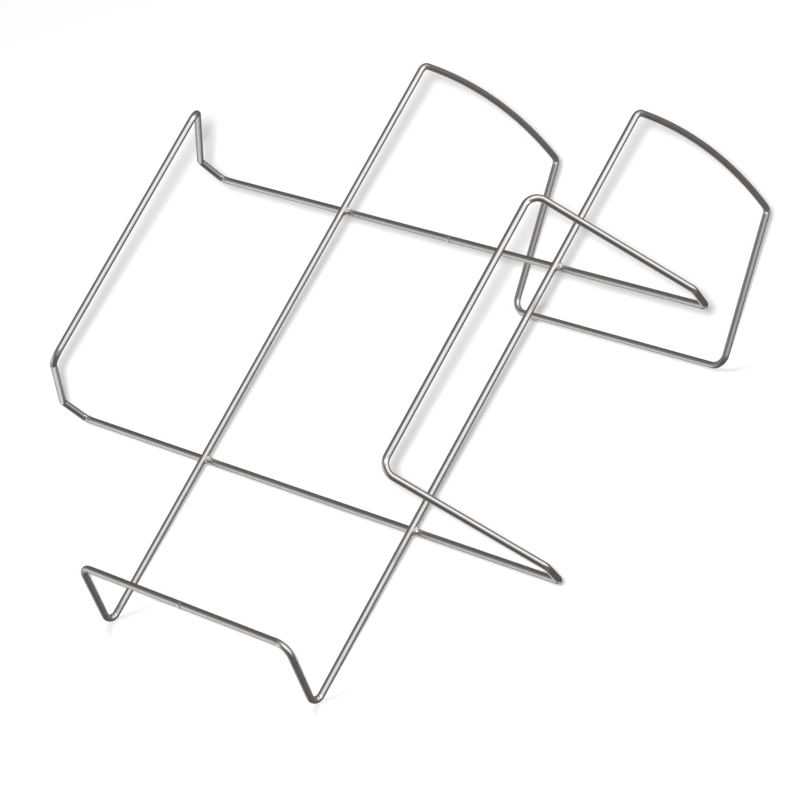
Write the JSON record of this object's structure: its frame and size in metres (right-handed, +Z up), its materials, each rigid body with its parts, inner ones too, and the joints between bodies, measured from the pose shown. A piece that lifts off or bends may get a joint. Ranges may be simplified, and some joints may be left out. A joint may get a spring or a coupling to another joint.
{
  "type": "desktop file sorter",
  "caption": "Wire desktop file sorter: a sloping bed loop with a lip and a bowed prop, crossed by a loop that turns up into two inward-leaning wings.",
  "frame": {"origin": "on the desk surface, in the middle of the outline", "axes": "+Z up, +Y towards the high end of the bed and its prop, +X to the right of a person at the low end"},
  "size_m": [0.3156, 0.3433, 0.1762],
  "materials": {
    "plated_wire": "bright nickel plating on drawn steel wire",
    "plated_weld": "plated over a rough weld"
  },
  "bodies": {
    "root": {"bed_wire": "plated_wire", "wing_wire": "plated_wire", "low_left_weld": "plated_weld", "low_right_weld": "plated_weld", "high_left_weld": "plated_weld", "high_right_weld": "plated_weld", "lip_butt_weld": "plated_weld", "cross_butt_weld": "plated_weld"}
  },
  "joints": []
}
